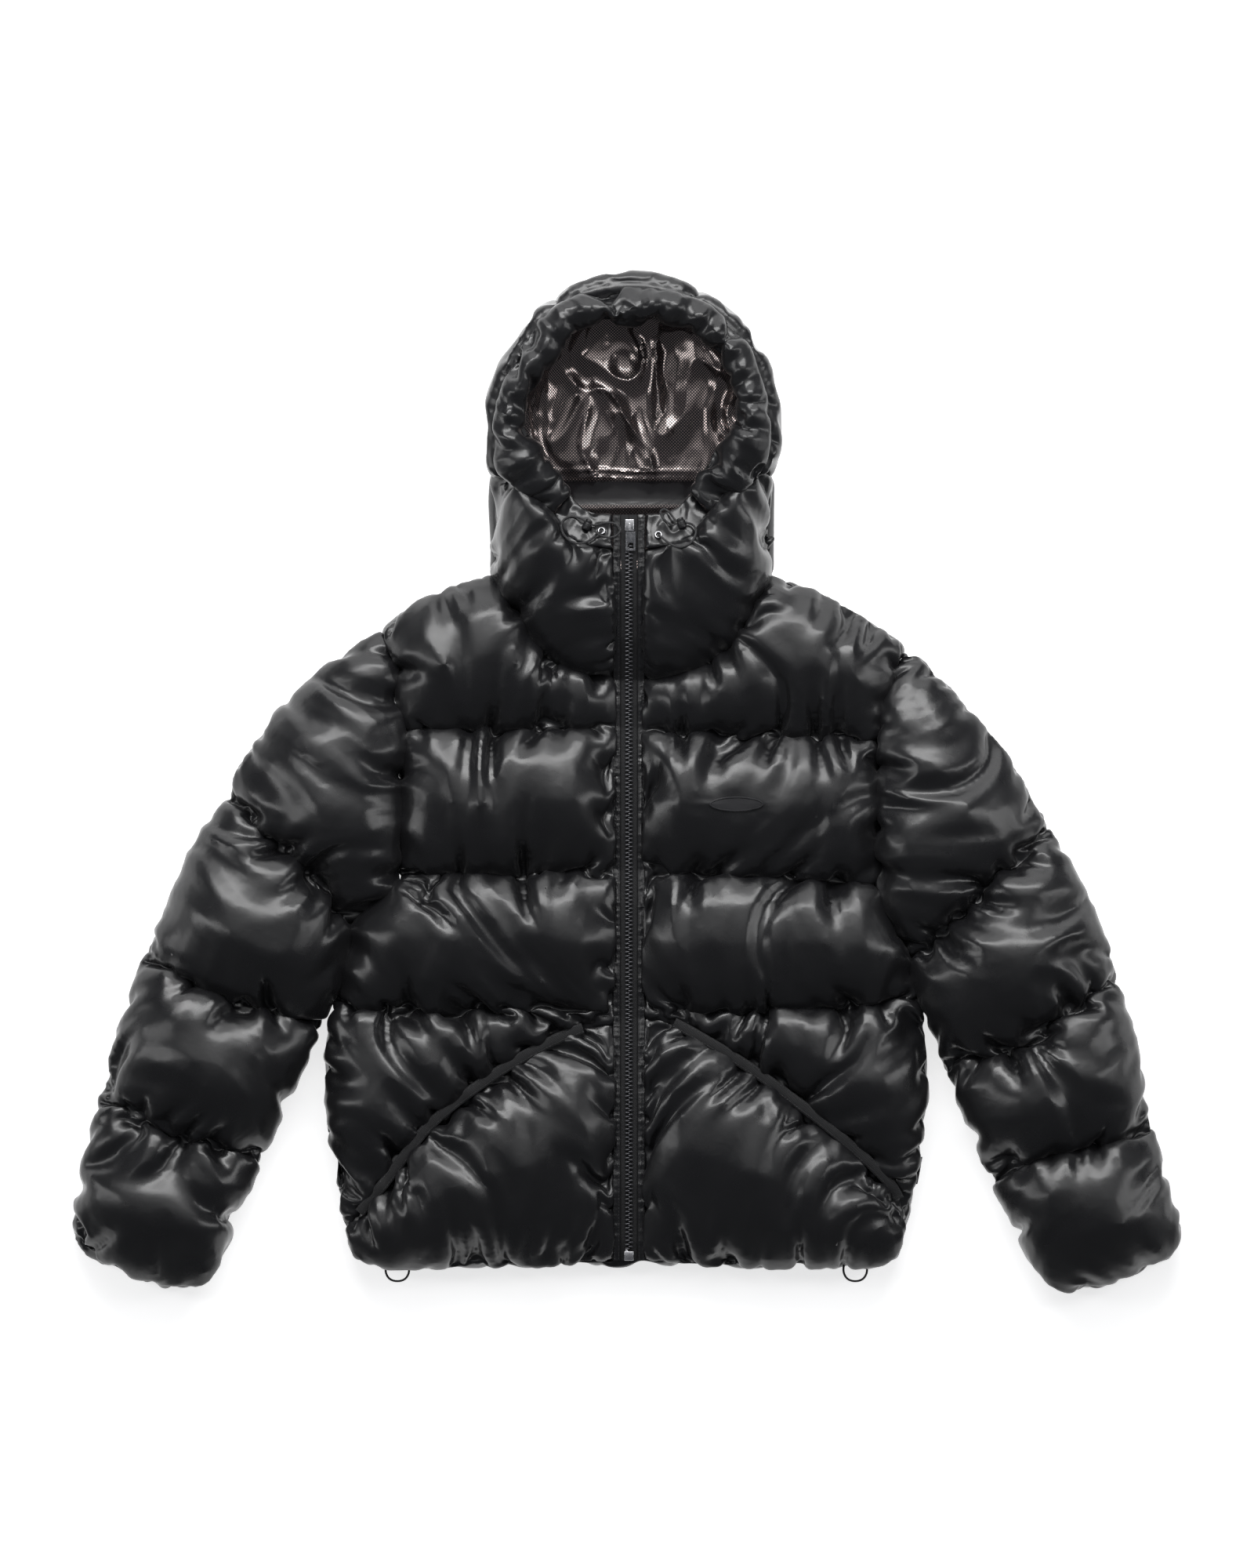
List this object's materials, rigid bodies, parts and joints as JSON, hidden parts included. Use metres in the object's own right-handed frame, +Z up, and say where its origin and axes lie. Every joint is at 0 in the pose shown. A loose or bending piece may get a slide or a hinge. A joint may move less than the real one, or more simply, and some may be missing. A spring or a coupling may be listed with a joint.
{
  "type": "hooded puffer jacket",
  "caption": "Cropped quilted puffer jacket with open hood, full zip, slanted bound pockets and drawcords, laid flat on its back.",
  "frame": {"origin": "middle of the back's resting face, under the zip and level with the chest", "axes": "+X to the wearer's left, +Y from hem to hood, +Z up from the surface it lies on"},
  "size_m": [1.097, 1.0075, 0.1127],
  "materials": {
    "shell": "glossy black coated nylon over padding",
    "binding": "matt black woven tape",
    "zip_tape": "matt black zip tape",
    "lining": "black lining with a fine metallic dot print",
    "zip_metal": "silver zip metal",
    "trim": "matt black patch and label",
    "cord": "black round elastic cord",
    "cord_lock": "black plastic cord lock"
  },
  "bodies": {
    "jacket": {"back": "shell", "front_right": "shell", "front_left": "shell", "pocket_right": "shell", "pocket_left": "shell", "placket_right": "shell", "placket_left": "shell", "sleeve_right": "shell", "sleeve_left": "shell", "neck_right": "shell", "neck_left": "shell", "collar_facing_right": "shell", "collar_facing_left": "shell", "hood_side_right": "shell", "hood_side_left": "shell", "neck_back": "shell", "hood_centre": "shell", "hood_brim": "shell", "pocket_binding_right": "binding", "pocket_binding_left": "binding", "zip_tape_right": "zip_tape", "zip_tape_left": "zip_tape", "hood_lining": "lining", "zip_chain": "zip_metal", "zip_slider": "zip_metal", "zip_box": "zip_metal", "eyelet_right": "zip_metal", "eyelet_left": "zip_metal", "chest_patch": "trim", "side_label": "trim", "hood_cord_right": "cord", "hood_cord_left": "cord", "hood_cord_end_right": "cord", "hood_cord_end_left": "cord", "hem_cord_right": "cord", "hem_cord_left": "cord", "cord_lock_right": "cord_lock", "cord_lock_left": "cord_lock"},
    "pull_tab": {"zip_pull": "zip_metal"}
  },
  "joints": [
    {"name": "pull_tab_swing", "type": "hinge", "parent": "jacket", "child": "pull_tab", "pos_m": [0.0016, 0.2505, 0.09244], "axis": [-1, 0, 0], "range_deg": [0, 160]}
  ]
}
